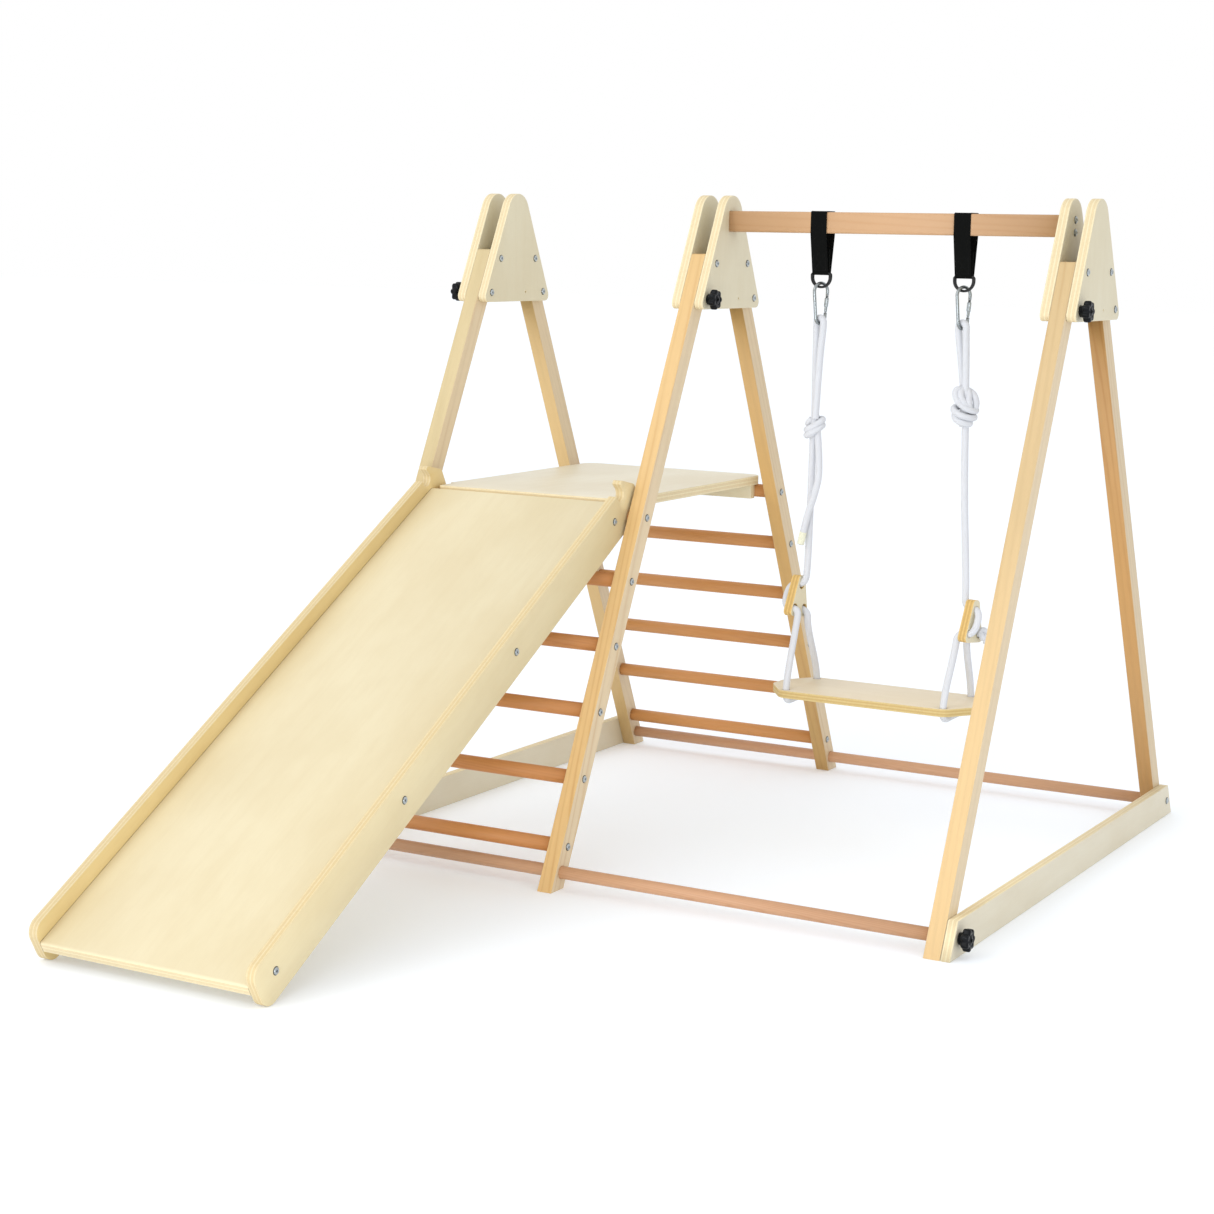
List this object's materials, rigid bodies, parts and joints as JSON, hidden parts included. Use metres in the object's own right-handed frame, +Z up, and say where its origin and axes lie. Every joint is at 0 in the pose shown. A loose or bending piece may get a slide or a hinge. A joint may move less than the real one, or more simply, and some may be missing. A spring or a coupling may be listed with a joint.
{
  "type": "swing set",
  "caption": "Wooden indoor climbing frame on A-frames with a ladder, a platform, a hook-on slide and a rope swing with a board seat.",
  "frame": {"origin": "on the floor, under the middle of the whole set's bounding box", "axes": "+X along the swing bar towards the swing's side, +Y from the slide's foot towards the rear ladder, +Z up"},
  "size_m": [1.3862, 2.1641, 1.3],
  "materials": {
    "pine_legs": "clear matt lacquer over yellowish pine",
    "birch_ply": "pale sanded plywood with banded edges",
    "beech_rungs": "sanded reddish beech",
    "beech_bar": "sanded pinkish beech",
    "black_plastic": "moulded black plastic",
    "black_webbing": "woven webbing",
    "black_steel": "black coating",
    "zinc_fasteners": "zinc plated",
    "zinc_hooks": "zinc plated",
    "white_rope": "braided cord"
  },
  "bodies": {
    "stand": {"d_rings": "black_steel", "frame_bolts": "zinc_fasteners", "left_inner_gusset": "birch_ply", "left_outer_gusset": "birch_ply", "left_rear_leg": "pine_legs", "left_strap": "black_webbing", "middle_left_gusset": "birch_ply", "middle_rear_leg": "pine_legs", "middle_right_gusset": "birch_ply", "rear_base_dowel": "beech_rungs", "rear_rung_1": "beech_rungs", "rear_rung_2": "beech_rungs", "rear_rung_3": "beech_rungs", "rear_rung_4": "beech_rungs", "rear_rung_5": "beech_rungs", "rear_rung_6": "beech_rungs", "right_inner_gusset": "birch_ply", "right_outer_gusset": "birch_ply", "right_rear_leg": "pine_legs", "right_strap": "black_webbing", "swing_bar": "beech_bar"},
    "front_ladder": {"front_base_dowel": "beech_rungs", "front_ladder_screws": "zinc_fasteners", "front_rung_1": "beech_rungs", "front_rung_2": "beech_rungs", "front_rung_3": "beech_rungs", "front_rung_4": "beech_rungs", "front_rung_5": "beech_rungs", "front_rung_6": "beech_rungs", "left_front_leg": "pine_legs", "middle_front_leg": "pine_legs", "right_front_leg": "pine_legs"},
    "swing": {"left_adjuster": "birch_ply", "left_rope": "white_rope", "left_rope_eye": "white_rope", "left_rope_knot": "white_rope", "left_rope_tail": "white_rope", "left_snap_hook": "zinc_hooks", "right_adjuster": "birch_ply", "right_rope": "white_rope", "right_rope_eye": "white_rope", "right_rope_knot": "white_rope", "right_snap_hook": "zinc_hooks", "stopper_knots": "white_rope", "swing_seat": "birch_ply"},
    "slide": {"slide_bed": "birch_ply", "slide_left_rail": "birch_ply", "slide_right_rail": "birch_ply", "slide_screws": "zinc_fasteners"},
    "platform": {"platform_cleat": "birch_ply", "platform_deck": "birch_ply"},
    "left_beam": {"left_base_beam": "birch_ply"},
    "left_gate": {"left_hook_gate": "zinc_hooks"},
    "right_beam": {"right_base_beam": "birch_ply"},
    "right_gate": {"right_hook_gate": "zinc_hooks"},
    "left_gusset_knob_body": {"left_gusset_knob": "black_plastic"},
    "middle_gusset_knob_body": {"middle_gusset_knob": "black_plastic"},
    "right_gusset_knob_body": {"right_gusset_knob": "black_plastic"},
    "left_foot_knob_body": {"left_foot_knob": "black_plastic"},
    "right_foot_knob_body": {"right_foot_knob": "black_plastic"}
  },
  "joints": [
    {"name": "frame_fold", "type": "hinge", "parent": "stand", "child": "front_ladder", "pos_m": [0, 0.3568, 1.1632], "axis": [1, 0, 0], "range_deg": [0, 50]},
    {"name": "slide_lift", "type": "slide", "parent": "stand", "child": "slide", "axis": [0, -0.2896, 0.9571], "range_m": [0, 0.88]},
    {"name": "left_beam_fold", "type": "hinge", "parent": "stand", "child": "left_beam", "pos_m": [-0.66, 1.0434, 0.033], "axis": [1, 0, 0], "range_deg": [-46, 0]},
    {"name": "right_beam_fold", "type": "hinge", "parent": "stand", "child": "right_beam", "pos_m": [0.66, 1.0434, 0.033], "axis": [1, 0, 0], "range_deg": [-46, 0]},
    {"name": "platform_lift", "type": "slide", "parent": "stand", "child": "platform", "axis": [0, 0, 1], "range_m": [0, 0.3]},
    {"name": "swing_hinge", "type": "hinge", "parent": "stand", "child": "swing", "pos_m": [0.2535, 0.4271, 1.1207], "axis": [1, 0, 0], "range_deg": [-40, 40]},
    {"name": "left_gate_hinge", "type": "hinge", "parent": "swing", "child": "left_gate", "pos_m": [0.10915, 0.43773, 1.07224], "axis": [-0.8829, 0.4695, 0], "range_deg": [-22, 0], "stiffness_Nm_per_rad": 0.02, "springref_deg": 8.59},
    {"name": "right_gate_hinge", "type": "hinge", "parent": "swing", "child": "right_gate", "pos_m": [0.40915, 0.43773, 1.07224], "axis": [-0.8829, 0.4695, 0], "range_deg": [-22, 0], "stiffness_Nm_per_rad": 0.02, "springref_deg": 8.59},
    {"name": "left_gusset_knob_spin", "type": "hinge", "parent": "stand", "child": "left_gusset_knob_body", "pos_m": [-0.66, 0.3216, 1.092], "axis": [1, 0, 0], "continuous": true},
    {"name": "middle_gusset_knob_spin", "type": "hinge", "parent": "stand", "child": "middle_gusset_knob_body", "pos_m": [-0.1, 0.3216, 1.092], "axis": [1, 0, 0], "continuous": true},
    {"name": "right_gusset_knob_spin", "type": "hinge", "parent": "stand", "child": "right_gusset_knob_body", "pos_m": [0.66, 0.3216, 1.092], "axis": [1, 0, 0], "continuous": true},
    {"name": "left_foot_knob_spin", "type": "hinge", "parent": "left_beam", "child": "left_foot_knob_body", "pos_m": [-0.66, -0.1892, 0.033], "axis": [1, 0, 0], "continuous": true},
    {"name": "right_foot_knob_spin", "type": "hinge", "parent": "right_beam", "child": "right_foot_knob_body", "pos_m": [0.66, -0.1892, 0.033], "axis": [1, 0, 0], "continuous": true}
  ],
  "couplings": [
    {"joint": "slide_lift", "follows": "frame_fold", "m_per_rad": 1},
    {"joint": "left_beam_fold", "follows": "frame_fold", "ratio": -0.9},
    {"joint": "right_beam_fold", "follows": "frame_fold", "ratio": -0.9}
  ]
}
